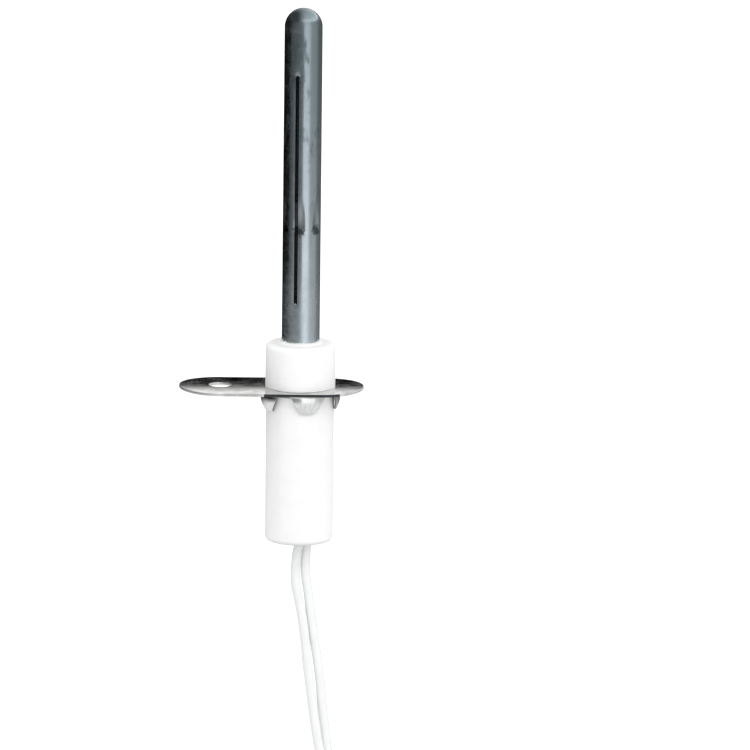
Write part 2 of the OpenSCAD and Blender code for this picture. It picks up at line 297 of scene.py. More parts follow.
def principled(name, constants):
    """A new material and its Principled shader, with constants set on the shader's own sockets."""
    material = bpy.data.materials.new(name)
    material.use_nodes = True
    shader = material.node_tree.nodes["Principled BSDF"]
    for socket, value in constants.items():
        shader.inputs[socket].default_value = value
    return material, material.node_tree, shader


def add(tree, kind, inputs=(), **settings):
    """Adds a node. Inputs are pairs of a socket and a value or another node's output."""
    made = tree.nodes.new(kind)
    for key, value in settings.items():
        setattr(made, key, value)
    for socket, value in inputs:
        if isinstance(value, bpy.types.NodeSocket):
            tree.links.new(value, made.inputs[socket])
        else:
            made.inputs[socket].default_value = value
    return made


def millimetres(tree, stretch=(1, 1, 1)):
    """The piece's own coordinates in millimetres, stretched."""
    where = add(tree, "ShaderNodeTexCoord").outputs["Object"]
    scale = tuple(s / MM for s in stretch)
    return add(tree, "ShaderNodeMapping", [("Vector", where), ("Scale", scale)]).outputs["Vector"]


def grain(tree, where, scale, detail=4.0, roughness=0.5):
    inputs = [("Vector", where), ("Scale", scale), ("Detail", detail), ("Roughness", roughness)]
    return add(tree, "ShaderNodeTexNoise", inputs).outputs["Fac"]


def remap(tree, value, low, high, to_low, to_high):
    """A smooth step from to_low, where the value is low, up or down to to_high, where it is high."""
    inputs = [("Value", value), ("From Min", low), ("From Max", high)]
    inputs += [("To Min", to_low), ("To Max", to_high)]
    return add(tree, "ShaderNodeMapRange", inputs, interpolation_type="SMOOTHSTEP").outputs["Result"]


def blend(tree, factor, a, b):
    inputs = [("Factor", factor), (6, a), (7, b)]
    return add(tree, "ShaderNodeMix", inputs, data_type="RGBA").outputs[2]


def mottle(tree, pattern, low, high, amount, a, b):
    """Colour a where the pattern is low, going over to b by the amount where it is high."""
    return blend(tree, remap(tree, pattern, low, high, 0.0, amount), a, b)


def maths(tree, operation, a, b):
    return add(tree, "ShaderNodeMath", [(0, a), (1, b)], operation=operation).outputs["Value"]


def relief(tree, height, depth, normal=None):
    inputs = [("Height", height), ("Distance", depth), ("Strength", 1.0)]
    if normal:
        inputs.append(("Normal", normal))
    return add(tree, "ShaderNodeBump", inputs).outputs["Normal"]


def rgb(r, g, b):
    return (r, g, b, 1.0)


def dress(tree, shader, colour, roughness, normal):
    """Gives a Principled shader its colour, roughness and relief."""
    tree.links.new(colour, shader.inputs["Base Color"])
    tree.links.new(roughness, shader.inputs["Roughness"])
    tree.links.new(normal, shader.inputs["Normal"])


# Height in millimetres of the painted shade at the foot of each dimple
DIMPLE_PAINTED_SHADE_Z = (COLLAR_TOP + 24.4 * MM) / MM


def painted_dimple_mask(tree, where, z, half_width, half_height):
    """Under 1 inside an ellipse on each dimple at height z: the mask for the dimples' painted highlight and
    painted shade. Sizes are in millimetres.
    """
    parts = add(tree, "ShaderNodeSeparateXYZ", [("Vector", where)]).outputs
    angle = maths(tree, "ARCTAN2", parts["X"], maths(tree, "MULTIPLY", parts["Y"], -1.0))
    off = maths(tree, "PINGPONG", maths(tree, "SUBTRACT", angle, DIMPLE_FIRST), math.pi / DIMPLES)
    across = maths(tree, "MULTIPLY", off, SHIELD_R / MM / half_width)
    up = maths(tree, "MULTIPLY", maths(tree, "SUBTRACT", parts["Z"], z), 1 / half_height)
    return maths(tree, "ADD", maths(tree, "MULTIPLY", across, across), maths(tree, "MULTIPLY", up, up))


def shield_steel():
    """Drawn steel tube: bright at the foot, dulled and blotched by heat towards the tip, with a painted
    highlight and a painted shade on each dimple.
    """
    material, tree, shader = principled("shield_steel", {"Metallic": 1.0})
    where = millimetres(tree)
    height = add(tree, "ShaderNodeSeparateXYZ", [("Vector", where)]).outputs["Z"]
    heat = remap(tree, height, SHIELD_LOW / MM, SHIELD_TOP / MM, 0.0, 1.0)
    blotch = grain(tree, millimetres(tree, (1, 1, 0.45)), 0.32, 5.0, 0.55)
    steel = blend(tree, heat, rgb(0.6, 0.68, 0.72), rgb(0.31, 0.38, 0.415))
    patches = remap(tree, blotch, 0.5, 0.66, 0.0, 0.75)
    stain = maths(tree, "MULTIPLY", patches, remap(tree, heat, 0.3, 1.0, 0.12, 1.0))
    colour = blend(tree, stain, steel, rgb(0.07, 0.105, 0.11))
    streak = grain(tree, millimetres(tree, (1, 1, 0.04)), 5.0, 3.0)
    colour = mottle(tree, streak, 0.35, 0.75, 0.22, colour, rgb(0.34, 0.37, 0.4))
    # painted highlight: a lighter tongue on the upper part of each dimple
    painted_highlight_mask = painted_dimple_mask(tree, where, DIMPLE_PAINTED_SHADE_Z + 3.0, 1.0, 2.4)
    colour = blend(tree, remap(tree, painted_highlight_mask, 0.2, 1.3, 0.35, 0.0), colour, rgb(0.72, 0.75, 0.76))
    # painted shade: a ragged near-black crescent at the foot of each dimple
    ragged = remap(tree, grain(tree, where, 1.1, 4.0, 0.6), 0.3, 0.7, -0.7, 0.9)
    painted_shade_mask = maths(tree, "ADD", painted_dimple_mask(tree, where, DIMPLE_PAINTED_SHADE_Z, 1.3, 1.15), ragged)
    colour = blend(tree, remap(tree, painted_shade_mask, 0.0, 1.5, 0.75, 0.0), colour, rgb(0.03, 0.04, 0.045))
    smear = grain(tree, where, 0.9, 6.0, 0.65)
    rough = remap(tree, smear, 0.3, 0.75, 0.12, 0.24)
    tip = SHIELD_TOP / MM
    for pattern, start, end, duller in (
        (stain, 0.0, 0.7, 0.14),
        (heat, 0.75, 1.0, 0.03),
        (heat, 0.3, 0.1, 0.12),
        (height, tip - 5.5, tip - 3.2, 0.08),
    ):
        rough = maths(tree, "ADD", rough, remap(tree, pattern, start, end, 0.0, duller))
    pits = grain(tree, where, 7.0, 2.0)
    normal = relief(tree, streak, 0.004 * MM)
    dress(tree, shader, colour, rough, relief(tree, pits, 0.004 * MM, normal))
    return material


def steatite():
    """Unglazed white ceramic: faintly mottled, with fine pores."""
    material, tree, shader = principled("steatite", {"Specular IOR Level": 0.35})
    where = millimetres(tree)
    cloud = grain(tree, where, 0.35, 4.0)
    colour = mottle(tree, cloud, 0.35, 0.7, 1.0, rgb(0.925, 0.93, 0.925), rgb(0.905, 0.91, 0.905))
    pores = grain(tree, where, 6.0, 3.0, 0.6)
    colour = mottle(tree, pores, 0.66, 0.74, 0.3, colour, rgb(0.76, 0.75, 0.72))
    roughness = remap(tree, pores, 0.3, 0.7, 0.45, 0.62)
    dress(tree, shader, colour, roughness, relief(tree, pores, 0.012 * MM))
    return material


def cement():
    """Refractory cement: off-white, sandy and matte."""
    material, tree, shader = principled("cement", {"Specular IOR Level": 0.25})
    where = millimetres(tree)
    sand = grain(tree, where, 4.5, 6.0, 0.7)
    colour = mottle(tree, sand, 0.35, 0.68, 1.0, rgb(0.92, 0.915, 0.9), rgb(0.82, 0.81, 0.785))
    roughness = remap(tree, sand, 0.3, 0.7, 0.75, 0.95)
    dress(tree, shader, colour, roughness, relief(tree, sand, 0.06 * MM))
    return material


def sheet_steel(name, tone, dull, stretch, scratch):
    """Bright sheet: fine rolling lines along one axis, smudges and a few scratches."""
    material, tree, shader = principled(name, {"Metallic": 1.0})
    lines = grain(tree, millimetres(tree, stretch), 3.0, 5.0, 0.6)
    smudge = grain(tree, millimetres(tree), 0.28, 5.0, 0.6)
    bright = rgb(*tone)
    dark = rgb(*(0.72 * t for t in tone))
    colour = mottle(tree, smudge, 0.42, 0.68, 0.8, bright, dark)
    colour = mottle(tree, lines, 0.5, 0.72, 0.45, colour, rgb(*(0.55 * t for t in tone)))
    rough = remap(tree, smudge, 0.3, 0.7, dull, dull + 0.07)
    rough = maths(tree, "ADD", rough, remap(tree, lines, 0.4, 0.7, 0.0, 0.1))
    dress(tree, shader, colour, rough, relief(tree, lines, scratch))
    return material


def silicon_carbide():
    """Dark sintered ceramic with open pores and a few glinting crystals."""
    material, tree, shader = principled("silicon_carbide", {"Specular IOR Level": 0.6})
    where = millimetres(tree)
    pores = grain(tree, where, 5.0, 5.0, 0.65)
    crystal = add(tree, "ShaderNodeTexVoronoi", [("Vector", where), ("Scale", 9.0)]).outputs["Distance"]
    colour = mottle(tree, pores, 0.35, 0.7, 1.0, rgb(0.035, 0.037, 0.04), rgb(0.12, 0.125, 0.13))
    roughness = remap(tree, crystal, 0.0, 0.35, 0.3, 0.8)
    dress(tree, shader, colour, roughness, relief(tree, pores, 0.05 * MM))
    return material


def spacer_ceramic():
    """Pressed ceramic, slightly chalky and blackened by heat."""
    material, tree, shader = principled("spacer_ceramic", {"Specular IOR Level": 0.3})
    chalk = grain(tree, millimetres(tree), 3.0, 5.0, 0.6)
    colour = mottle(tree, chalk, 0.35, 0.7, 1.0, rgb(0.05, 0.05, 0.052), rgb(0.028, 0.028, 0.03))
    roughness = remap(tree, chalk, 0.3, 0.7, 0.6, 0.85)
    dress(tree, shader, colour, roughness, relief(tree, chalk, 0.02 * MM))
    return material


def nickel():
    """Satin nickel plate with faint yellow tarnish."""
    material, tree, shader = principled("nickel", {"Metallic": 1.0})
    tarnish = grain(tree, millimetres(tree), 1.2, 5.0, 0.6)
    colour = mottle(tree, tarnish, 0.4, 0.7, 1.0, rgb(0.69, 0.67, 0.62), rgb(0.52, 0.47, 0.37))
    roughness = remap(tree, tarnish, 0.3, 0.7, 0.25, 0.45)
    dress(tree, shader, colour, roughness, relief(tree, grain(tree, millimetres(tree), 9.0), 0.01 * MM))
    return material


def strands():
    """Tinned copper wire, with copper showing where the plating is thin."""
    material, tree, shader = principled("strands", {"Metallic": 1.0})
    wear = grain(tree, millimetres(tree, (1, 1, 0.4)), 2.2, 5.0, 0.6)
    colour = mottle(tree, wear, 0.5, 0.68, 0.8, rgb(0.71, 0.68, 0.62), rgb(0.72, 0.42, 0.26))
    roughness = remap(tree, wear, 0.3, 0.7, 0.22, 0.42)
    dress(tree, shader, colour, roughness, relief(tree, grain(tree, millimetres(tree), 14.0), 0.006 * MM))
    return material


def insulation():
    """Milky fluoropolymer: satin, faintly streaked along the wire, with light passing a little way in."""
    constants = {
        "Subsurface Weight": 0.25,
        "Subsurface Radius": (1.0, 1.0, 0.9),
        "Subsurface Scale": 0.4 * MM,
        "IOR": 1.36,
    }
    material, tree, shader = principled("insulation", constants)
    where = millimetres(tree)
    cloud = grain(tree, millimetres(tree, (1, 1, 0.3)), 0.9, 5.0, 0.6)
    colour = mottle(tree, cloud, 0.35, 0.7, 1.0, rgb(0.92, 0.935, 0.93), rgb(0.87, 0.89, 0.88))
    specks = grain(tree, where, 3.5, 2.0)
    colour = mottle(tree, specks, 0.7, 0.78, 0.3, colour, rgb(0.66, 0.67, 0.65))
    roughness = remap(tree, cloud, 0.3, 0.7, 0.26, 0.4)
    dress(tree, shader, colour, roughness, relief(tree, grain(tree, where, 5.0, 3.0), 0.012 * MM))
    return material


def tie_plastic():
    """White moulded nylon with a fine sparked texture."""
    constants = {"Subsurface Weight": 0.15, "Subsurface Scale": 0.5 * MM}
    material, tree, shader = principled("tie_plastic", constants)
    where = millimetres(tree)
    cloud = grain(tree, where, 0.8, 4.0)
    colour = mottle(tree, cloud, 0.35, 0.7, 1.0, rgb(0.88, 0.87, 0.83), rgb(0.8, 0.79, 0.74))
    spark = grain(tree, where, 8.0, 3.0, 0.6)
    roughness = remap(tree, spark, 0.3, 0.7, 0.4, 0.6)
    dress(tree, shader, colour, roughness, relief(tree, spark, 0.015 * MM))
    return material


# ---------------------------------------------------------------- leads, their bare ends and the tie


def waist(z):
    """How far the tie draws a hank's run in at height z, on the CAD outline's arc."""
    half = (HANK_TOP - HANK_LOW) / 2
    arc_r = (half * half + HANK_WAIST * HANK_WAIST) / (2 * HANK_WAIST)
    from_mid = min(abs(z - HANK_MID), half)
    return HANK_WAIST - (arc_r - math.sqrt(arc_r * arc_r - from_mid * from_mid))


def hank_points(side):
    """Down the right run, round the foot, up the left run, over the top and down beside the first."""
    inner = side * TURN_PITCH / 2
    outer = side * TURN_PITCH * 1.5
    down = spaced(HANK_TOP, HANK_LOW, 2 * MM)
    up = spaced(HANK_LOW, HANK_TOP, 2 * MM)
    turns = spaced(0, math.pi, math.radians(12))
    points = [(HANK_X + HANK_LOOP_R - waist(z), inner, z) for z in down]
    for a in turns:
        points.append((HANK_X + HANK_LOOP_R * math.cos(a), inner, HANK_LOW - HANK_LOOP_R * math.sin(a)))
    points += [(HANK_X - HANK_LOOP_R + waist(z), inner, z) for z in up]
    for a in turns:
        y = inner + (outer - inner) * smooth(a / math.pi)
        points.append((HANK_X - HANK_LOOP_R * math.cos(a), y, HANK_TOP + HANK_LOOP_R * math.sin(a)))
    points += [(HANK_X + HANK_LOOP_R - waist(z), outer, z) for z in down]
    points += [(HANK_X + HANK_LOOP_R, outer, z) for z in spaced(HANK_LOW, INSULATION_END, 2.5 * MM)]
    return points + [(HANK_X + HANK_LOOP_R, outer, INSULATION_END)]


def through(points, steps):
    """A smooth line through given points."""
    ends = [points[0] * 2 - points[1], *points, points[-1] * 2 - points[-2]]
    line = []
    for before, start, end, after in zip(ends, ends[1:], ends[2:], ends[3:]):
        for k in range(steps):
            t = k / steps
            pull = (end - before) * t + (before * 2 - start * 5 + end * 4 - after) * t * t
            line.append(start + (pull + (start * 3 - end * 3 + after - before) * t**3) / 2)
    return [*line, points[-1]]


def make_lead(name, side, route, material, nodes):
    """A lead's insulation, from inside the body along its route and round the hank."""
    joint = Vector((side * LEG_X, 0, MOUTH_TOP))
    seen = [Vector((x, y, FOOT - depth)) for x, y, depth in route]
    hank = [Vector(p) for p in hank_points(side)]
    points = through([joint, *seen, hank[0]], 4) + hank[1:]
    curve = bpy.data.curves.new(name, "CURVE")
    curve.dimensions = "3D"
    curve.bevel_depth = LEAD_R
    curve.bevel_resolution = 6
    curve.use_fill_caps = True
    spline = curve.splines.new("POLY")
    spline.points.add(len(points) - 1)
    for target, point in zip(spline.points, points):
        target.co = (*point, 1)
    spline.use_smooth = True
    return link_piece(name, curve, material, nodes)


def make_strands(name, side, material, node):
    """Nineteen fine wires twisted together, loosening a little towards the cut end."""
    wire_r = 0.12 * MM
    lay = 11 * MM
    sides = 8
    start = INSULATION_END + 0.8 * MM
    wires = [(0, 0)]
    wires += [(2 * wire_r, k / 6) for k in range(6)]
    wires += [(4 * wire_r, (k + 0.5) / 12) for k in range(12)]
    middle = Vector((HANK_X + HANK_LOOP_R, side * TURN_PITCH * 1.5, 0))
    points, faces = [], []
    for index, (reach, share) in enumerate(wires):
        end = STRAND_END + 0.5 * MM * (noise.noise(Vector((index * 1.7, side, 0))) * 0.5 + 0.5)
        heights = spaced(start, end, 0.4 * MM) + [end]
        first = len(points)
        for z in heights:
            down = (start - z) / (start - STRAND_END)
            spread = reach * (1 + 0.12 * down * down)
            angle = TURN * (share + side * (start - z) / lay)
            centre = middle + Vector((spread * math.cos(angle), spread * math.sin(angle), z))
            for s in range(sides):
                a = TURN * s / sides
                points.append(centre + Vector((wire_r * math.cos(a), wire_r * math.sin(a), 0)))
        for j in range(len(heights) - 1):
            for s in range(sides):
                a, b = first + j * sides + s, first + j * sides + (s + 1) % sides
                faces.append((a, b, b + sides, a + sides))
        faces.append(tuple(first + s for s in range(sides)))
        faces.append(tuple(len(points) - sides + s for s in range(sides)))
    return mesh_piece(name, points, faces, material, [node])


# Blocks on the tie, in millimetres from the middle of its front: X and Y ranges, half height, edge radius
TIE_BLOCKS = [
    ((-2.2, 2.2), (-2.2, 0.3), 2.3, 0.5),  # the locking head
    ((1.9, 3.8), (-1.6, -0.7), 1.5, 0.2),  # the cut tail
    ((-1.5, 1.5), (-2.35, -1.9), 1.3, 0.15),  # the head's raised face
]


def make_tie(material):
    """A nylon cable tie: a band round the hank's waist, its locking head and the cut tail."""
    low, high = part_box("lead_tie")
    band_t = 0.7 * MM
    edge = 0.18 * MM
    middle_z = (low.z + high.z) / 2
    half_h = (high.z - low.z) / 2
    centre_x = (low.x + high.x) / 2
    half_x = (high.x - low.x) / 2
    half_y = high.y
    bend = 1.7 * MM
    section = rounded_box((0, band_t), (-half_h, half_h), edge, 3)
    turns = [(half_x, -half_y), (half_x, half_y), (-half_x, half_y), (-half_x, -half_y)]
    loop = fine(fillet([(x, y, bend) for x, y in turns], 10), 0.5 * MM)
    points = []
    for i, place in enumerate(loop):
        along = (loop[(i + 1) % len(loop)] - loop[i - 1]).normalized()
        inward = Vector((-along.y, along.x))
        for depth, z in section:
            p = place + inward * depth
            points.append((centre_x + p.x, p.y, middle_z + z))
    faces = hoop_faces(len(loop), len(section))
    for (left, right), (front, back), block_half, round_r in TIE_BLOCKS:
        xs = (centre_x + left * MM, centre_x + right * MM)
        ys = (-half_y + front * MM, -half_y + back * MM)
        zs = (middle_z - block_half * MM, middle_z + block_half * MM)
        add_block(points, faces, xs, ys, zs, round_r * MM)
    return mesh_piece("cable_tie", points, faces, material, ["lead_tie"])


def add_block(points, faces, xs, ys, zs, edge):
    """Adds a block with rounded edges: rounded outlines stacked along Z, drawn in at both ends."""
    levels = soft_levels(*zs, edge)
    first = len(points)
    count = 0
    for z, inset in levels:
        corner = max(edge - inset, 0.02 * MM)
        ring = rounded_box((xs[0] + inset, xs[1] - inset), (ys[0] + inset, ys[1] - inset), corner, 4)
        count = len(ring)
        points += [(p.x, p.y, z) for p in ring]
    for j in range(len(levels) - 1):
        for i in range(count):
            a, b = first + j * count + i, first + j * count + (i + 1) % count
            faces.append((a, b, b + count, a + count))
    faces.append(tuple(first + i for i in range(count)))
    faces.append(tuple(len(points) - count + i for i in range(count)))


# ---------------------------------------------------------------- shield

# Shallow dents left by the piercing tool: angle, height, half width, half height and depth
DENTS = [
    (math.radians(-5), SLOT_HIGH + 0.2 * MM, 0.7 * MM, 1.3 * MM, 0.05 * MM),
    (math.radians(-20), SLOT_LOW - 1.2 * MM, 0.5 * MM, 0.9 * MM, 0.05 * MM),
]


def slot_half(z):
    """Half the slot's width at height z, along the surface."""
    r = SLOT_W / 2
    past = max(SLOT_LOW + r - z, z - (SLOT_HIGH - r), 0)
    return math.sqrt(max(r * r - past * past, 0))


def from_slot(across, z):
    """Distance from the slot's edge, outside it."""
    past = max(SLOT_LOW + SLOT_W / 2 - z, z - (SLOT_HIGH - SLOT_W / 2), 0)
    return math.hypot(across, past) - SLOT_W / 2


def pressed_in(angle, z):
    """How far the surface lies inside the true cylinder: dimples, rolled slot edges, dents and waviness."""
    depth = 0
    for k in range(DIMPLES):
        across = wrapped(angle - DIMPLE_FIRST - TURN * k / DIMPLES) * SHIELD_R / DIMPLE_HALF_W
        up = (z - DIMPLE_LOW) / DIMPLE_LENGTH
        if abs(across) < 1 and 0 < up < 1:
            profile = smooth(up / DIMPLE_RISE) * smooth((1 - up) / (1 - DIMPLE_RISE))
            depth += DIMPLE_DEPTH * (1 - across * across) ** 1.5 * profile
    for turn in (SLOT_TURN, SLOT_TURN + math.pi):
        edge = from_slot(wrapped(angle - turn) * SHIELD_R, z)
        depth += ROLL_DEPTH * math.exp(-((edge / ROLL_REACH) ** 2))
    for turn, height, half_w, half_h, dent in DENTS:
        reach = (wrapped(angle - turn) * SHIELD_R / half_w) ** 2 + ((z - height) / half_h) ** 2
        depth += dent * math.exp(-reach)
    return depth + waviness(angle, z, 0.012 * MM, 2, 9 * MM)


def shield_rows():
    """Heights and radii from the foot to just below the tip."""
    r = SLOT_W / 2
    arc = [r * math.cos(a) for a in spaced(0, math.pi / 2, math.pi / 16)]
    dome = SHIELD_TOP - SHIELD_R
    heights = spaced(SHIELD_LOW, SLOT_LOW, 0.6 * MM)
    heights += [SLOT_LOW + r - a for a in arc]
    heights += spaced(SLOT_LOW + r, DIMPLE_LOW - 0.3 * MM, 0.8 * MM)
    heights += spaced(DIMPLE_LOW - 0.3 * MM, DIMPLE_LOW + 2 * MM, 0.1 * MM)
    heights += spaced(DIMPLE_LOW + 2 * MM, DIMPLE_LOW + DIMPLE_LENGTH, 0.3 * MM)
    heights += spaced(DIMPLE_LOW + DIMPLE_LENGTH, SLOT_HIGH - r, 0.8 * MM)
    heights += [SLOT_HIGH - r + a for a in reversed(arc)]
    heights += spaced(SLOT_HIGH + 0.1 * MM, dome, 0.5 * MM)
    rows = [(z, SHIELD_R) for z in heights]
    for a in spaced(0, math.radians(88), math.radians(4)):
        rows.append((dome + SHIELD_R * math.sin(a), SHIELD_R * math.cos(a)))
    return rows


def make_shield(material):
    """Two half shells that meet at the slots, thickened inwards."""
    steps = 56
    shares = [(1 - math.cos(math.pi * k / steps)) / 2 for k in range(steps + 1)]
    rows = shield_rows()
    points = []
    for z, r in rows:
        half = slot_half(z) / SHIELD_R
        for turn in (SLOT_TURN, SLOT_TURN + math.pi):
            for share in shares:
                angle = turn + half + (math.pi - 2 * half) * share
                points.append(at(angle, r * (1 - pressed_in(angle, z) / SHIELD_R), z))
    columns = len(shares)
    faces = []
    for j in range(len(rows) - 1):
        for half in (0, 1):
            first = (2 * j + half) * columns
            faces += [(first + i, first + i + 1, first + i + 1 + 2 * columns, first + i + 2 * columns)
                      for i in range(columns - 1)]
    tip = len(points)
    points.append(Vector((0, 0, SHIELD_TOP)))
    last = 2 * (len(rows) - 1) * columns
    for half in (0, 1):
        first = last + half * columns
        faces += [(first + i, first + i + 1, tip) for i in range(columns - 1)]
    shield = mesh_piece("shield", points, faces, material, ["shield_tube"])
    wall = shield.modifiers.new("wall", "SOLIDIFY")
    wall.thickness = SHIELD_WALL
    wall.offset = -1
    settle(shield, 50)
    return shield


# ---------------------------------------------------------------- ceramic body and cement


def body_wobble(angle, z):
    """A fired body is never quite round or straight."""
    return waviness(angle, z, 0.025 * MM, 1.5, 8 * MM)


def make_body(material):
    """The one-piece ceramic: collar, shoulder and base, with the shield's socket and the leads' mouth."""
    edge = 1.1 * MM
    soft = 0.1 * MM
    corners = [
        (MOUTH_R, FOOT, BODY_LIP), (BODY_R, FOOT, edge), (BODY_R, -SHOULDER, soft), (COLLAR_R, 0, soft),
        (COLLAR_R, COLLAR_TOP, edge), (SOCKET_R, COLLAR_TOP, BODY_LIP), (SOCKET_R, SHIELD_LOW, 0),
        (CAVITY_R, SHIELD_LOW, 0), (CAVITY_R, MOUTH_TOP, 0), (MOUTH_R, MOUTH_TOP, 0),
    ]
    points, faces = lathe(fine(fillet(corners, 8), 1.6 * MM), 144, body_wobble)
    body = mesh_piece("ceramic", points, faces, material, ["ceramic_body"], 40)
    weigh_normals(body)
    return body


def make_shield_bead(material):
    """The film in the socket and the uneven bead pushed up round the shield's foot."""
    segments = 120
    inner = SHIELD_R - 0.02 * MM
    rim = COLLAR_TOP - 0.04 * MM
    arc = spaced(0, math.pi / 2, math.pi / 12) + [math.pi / 2]
    points = []
    count = 0
    for k in range(segments):
        angle = TURN * k / segments
        around = Vector((2.2 * math.cos(angle), 2.2 * math.sin(angle), 0))
        size = 0.45 * MM * (1 + 0.55 * noise.noise(around) + 0.25 * noise.noise(around * 4))
        section = [(inner, SHIELD_LOW), (SOCKET_R, SHIELD_LOW), (SOCKET_R, COLLAR_TOP - BODY_LIP)]
        section += [(SOCKET_R + size * math.cos(a), rim + size * math.sin(a)) for a in arc]
        section += [(inner, COLLAR_TOP + size * 1.15)]
        count = len(section)
        points += [at(angle, r, z) for r, z in section]
    faces = hoop_faces(segments, count)
    return mesh_piece("shield_bead", points, faces, material, ["shield_cement"], 50)


def make_potting(material):
    """The plug that the leads come out of, with a rough face that climbs the mouth's wall and the leads."""
    segments, rings = 72, 18
    face = FOOT + 0.4 * MM
    wall_climb, wall_reach = 0.2 * MM, 0.4 * MM
    lead_climb, lead_reach = 0.3 * MM, 0.35 * MM
    exits = [Vector(ROUTE_LEFT[0][:2]), Vector(ROUTE_RIGHT[0][:2])]
    points = [Vector((0, 0, MOUTH_TOP)), Vector((0, 0, face))]
    for level in range(rings + 1):
        r = MOUTH_R * (level + 1) / (rings + 1)
        for k in range(segments):
            p = at(TURN * k / segments, r, 0)
            climb = wall_climb * math.exp(-(((MOUTH_R - r) / wall_reach) ** 2))
            for exit_point in exits:
                gap = max((p.xy - exit_point).length - LEAD_R, 0)
                climb += lead_climb * math.exp(-((gap / lead_reach) ** 2))
            rough = 0.09 * MM * noise.noise(p / (0.7 * MM))
            points.append(Vector((p.x, p.y, face - climb + rough)))
    top = len(points)
    points += [at(TURN * k / segments, MOUTH_R, MOUTH_TOP) for k in range(segments)]
    faces = []
    for k in range(segments):
        nxt = (k + 1) % segments
        faces.append((1, 2 + k, 2 + nxt))
        for level in range(rings):
            a, b = 2 + level * segments + k, 2 + level * segments + nxt
            faces.append((a, b, b + segments, a + segments))
        outer = 2 + rings * segments
        faces.append((outer + k, outer + nxt, top + nxt, top + k))
        faces.append((0, top + k, top + nxt))
    return mesh_piece("potting", points, faces, material, ["lead_potting"], 60)


# ---------------------------------------------------------------- flange plate and retainer


def plate_loops(inset):
    """The plate's outline and its two holes, drawn in by inset."""
    r = PLATE_END_R - inset
    half_turn = [math.radians(a) for a in range(0, 181, 5)]
    step = 1.5 * MM
    outer = [Vector((SHORT_X + r * math.sin(a), r * math.cos(a))) for a in half_turn]
    outer += [Vector((x, -r)) for x in spaced(SHORT_X, SCREW_X, step)[1:]]
    outer += [Vector((SCREW_X - r * math.sin(a), -r * math.cos(a))) for a in half_turn]
    outer += [Vector((x, r)) for x in spaced(SCREW_X, SHORT_X, step)[1:]]
    return [outer, circle(0, PLATE_HOLE_R + inset), circle(SCREW_X, SCREW_HOLE_R + inset)]


def make_flange(material, edge_material, painted_shade_material):
    """The plate, stamped from sheet: soft edges, painted shade on the edge faces beside the collar, bowed
    to be highest midway.
    """
    edge = 0.14 * MM
    bow = 0.2 * MM
    levels = soft_levels(PLATE_TOP, PLATE_LOW, edge)
    points, faces = [], []
    starts = []
    for z, inset in levels:
        loops = plate_loops(inset)
        starts.append([])
        for loop in loops:
            starts[-1].append(len(points))
            points += [Vector((p.x, p.y, z - bow * (p.y / PLATE_END_R) ** 2)) for p in loop]
    sizes = [len(loop) for loop in plate_loops(0)]
    for upper, lower in zip(starts, starts[1:]):
        for a, b, size in zip(upper, lower, sizes):
            faces += [(a + i, a + (i + 1) % size, b + (i + 1) % size, b + i) for i in range(size)]
    plate = mesh_piece("flange_plate", points, faces, material, ["mounting_flange"], 40)
    work = bmesh.new()
    work.from_mesh(plate.data)
    between = (PLATE_TOP - bow + PLATE_LOW) / 2
    for upper in (True, False):
        rim = [e for e in work.edges if e.is_boundary and (e.verts[0].co.z > between) == upper]
        bmesh.ops.triangle_fill(work, edges=rim, use_beauty=True, use_dissolve=False)
    write_back(work, plate.data)
    plate.data.materials.append(edge_material)
    plate.data.materials.append(painted_shade_material)
    # painted shade: the edge faces beside the collar, front and back, take the near-black steel
    shade_reach_x = COLLAR_R + 0.8 * MM
    shade_reach_y = 0.9 * PLATE_END_R
    normals = []
    # the other edge faces take a lighter copy of the plate steel: a painted highlight
    for face in plate.data.polygons:
        level = abs(face.normal.z) > 0.9
        if not level:
            beside = abs(face.center.x) < shade_reach_x and abs(face.center.y) > shade_reach_y
            face.material_index = 2 if beside else 1
        for corner in face.vertices:
            lean = 2 * bow * plate.data.vertices[corner].co.y / PLATE_END_R**2
            up = Vector((0, lean, 1)).normalized() * math.copysign(1, face.normal.z)
            normals.append(up if level else Vector())
    plate.data.normals_split_custom_set(normals)
    return plate


FINGERS = 5
FINGER_TURN = math.radians(13)
FINGER_ROOT = 4.0 * MM
FINGER_TIP = 1.85 * MM
SHEET = 0.5 * MM
BEND = 0.9 * MM
GRIP_GAP = 0.03 * MM
RING_BEND = 0.55  # share of the bend that the sheet turns through between fingers
RING_STEPS = 8
FINGER_STEPS = 14


def crown_path(t):
    """The crown's outer surface as radius and height, a distance t from its inner edge."""
    flat = RING_R - BEND - PLATE_HOLE_R
    if t < flat:
        return PLATE_HOLE_R + t, PLATE_LOW
    bent = (t - flat) / BEND
    if bent < math.pi / 2:
        return RING_R - BEND + BEND * math.sin(bent), PLATE_LOW - BEND * (1 - math.cos(bent))
    down = t - flat - BEND * math.pi / 2
    length = PLATE_LOW - BEND - FINGER_LOW
    lean = (RING_R - BODY_R - SHEET - GRIP_GAP) * (down / length) ** 2.2
    return RING_R - lean, PLATE_LOW - BEND - down


def crown_ring():
    """The sheet's length along its path between fingers, where it stops part of the way round the bend."""
    return RING_R - BEND - PLATE_HOLE_R + BEND * math.pi / 2 * RING_BEND


def crown_reach(angle):
    """How far the sheet runs along its path at an angle: long on a finger, short between fingers."""
    ring = crown_ring()
    full = RING_R - BEND - PLATE_HOLE_R + BEND * math.pi / 2 + PLATE_LOW - BEND - FINGER_LOW
    spacing = TURN / FINGERS
    off = abs((angle - FINGER_TURN + spacing / 2) % spacing - spacing / 2) * RING_R
    corner = 0.6 * MM
    if off < FINGER_TIP - corner:
        return full
    if off < FINGER_TIP:
        over = off - FINGER_TIP + corner
        return full - corner + math.sqrt(corner * corner - over * over)
    side = (off - FINGER_TIP) / (FINGER_ROOT - FINGER_TIP)
    if side >= 1:
        return ring
    return ring + (full - corner - ring) * (1 - smooth(side) * 0.35 - side * 0.65)


